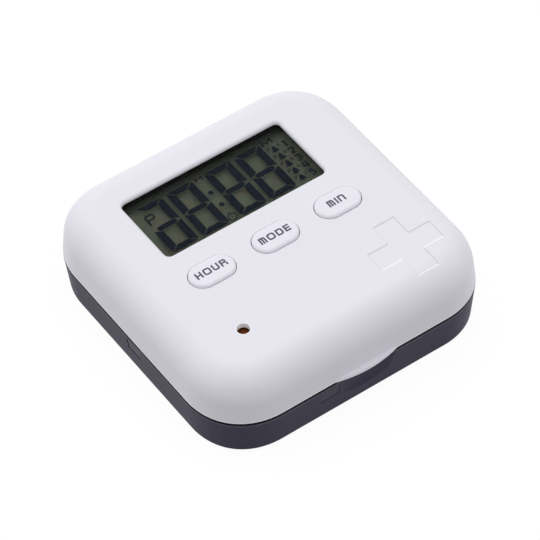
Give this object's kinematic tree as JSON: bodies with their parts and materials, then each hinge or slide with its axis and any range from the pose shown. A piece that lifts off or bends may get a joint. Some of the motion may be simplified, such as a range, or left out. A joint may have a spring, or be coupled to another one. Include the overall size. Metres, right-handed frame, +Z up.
{
  "type": "electronic pill box",
  "caption": "Square pocket pill box with a hinged timer lid: segment display, time buttons and sounder, over a divided pill tray.",
  "frame": {"origin": "centre of the square underside, on the face it stands on", "axes": "+X to the right as the buttons read, +Y towards the hinge at the back, +Z up"},
  "size_m": [0.09, 0.0948, 0.0276],
  "materials": {
    "lid_plastic": "fine satin, warm white",
    "button_plastic": "fine satin white",
    "base_plastic": "fine satin, dark grey",
    "tray_plastic": "satin, dark grey",
    "liner_plastic": "satin white",
    "frame_plastic": "plain white",
    "plunger_plastic": "plain red",
    "switch_black": "plain black",
    "pin_steel": "drawn rod",
    "screw_steel": "zinc plated",
    "window_clear": "clear, polished",
    "display_glass": "grey-olive display field",
    "reflector_foil": "brushed foil",
    "contact_rubber": "striped elastomer",
    "board_laminate": "green solder mask",
    "chip_epoxy": "black epoxy",
    "crystal_can": "tinned can",
    "capacitor_ceramic": "tan ceramic with tinned ends",
    "resistor_black": "black film with tinned ends",
    "sounder_brass": "dull brown brass",
    "sounder_ceramic": "cream ceramic with silver electrode",
    "contact_bronze": "spring bronze",
    "cell_steel": "nickel plated"
  },
  "bodies": {
    "base": {"base_shell": "base_plastic", "pill_tray": "tray_plastic", "hinge_pin": "pin_steel"},
    "lid": {"lid_shell": "lid_plastic", "lid_liner": "liner_plastic", "liner_screws": "screw_steel", "cell_door": "liner_plastic", "door_screw": "screw_steel", "display_window": "window_clear", "display_panel": "display_glass", "display_reflector": "reflector_foil", "display_frame": "frame_plastic", "front_contact_strip": "contact_rubber", "back_contact_strip": "contact_rubber", "circuit_board": "board_laminate", "board_screws": "screw_steel", "chip_blob": "chip_epoxy", "clock_crystal": "crystal_can", "capacitors": "capacitor_ceramic", "resistors": "resistor_black", "hour_switch": "switch_black", "mode_switch": "switch_black", "minute_switch": "switch_black", "sounder_disc": "sounder_brass", "sounder_ceramic": "sounder_ceramic", "sounder_disc_contact": "contact_bronze", "sounder_ceramic_contact": "contact_bronze", "coin_cell": "cell_steel", "negative_contact": "contact_bronze", "positive_contact": "contact_bronze"},
    "hour_button": {"hour_button": "button_plastic", "hour_plunger": "plunger_plastic"},
    "mode_button": {"mode_button": "button_plastic", "mode_plunger": "plunger_plastic"},
    "minute_button": {"minute_button": "button_plastic", "minute_plunger": "plunger_plastic"}
  },
  "joints": [
    {"name": "lid_hinge", "type": "hinge", "parent": "base", "child": "lid", "pos_m": [0, 0.0464, 0.0125], "axis": [-1, 0, 0], "range_deg": [0, 165]},
    {"name": "hour_press", "type": "slide", "parent": "lid", "child": "hour_button", "axis": [0, 0, -1], "range_m": [0, 0.0003], "stiffness_N_per_m": 1500},
    {"name": "mode_press", "type": "slide", "parent": "lid", "child": "mode_button", "axis": [0, 0, -1], "range_m": [0, 0.0003], "stiffness_N_per_m": 1500},
    {"name": "minute_press", "type": "slide", "parent": "lid", "child": "minute_button", "axis": [0, 0, -1], "range_m": [0, 0.0003], "stiffness_N_per_m": 1500}
  ]
}
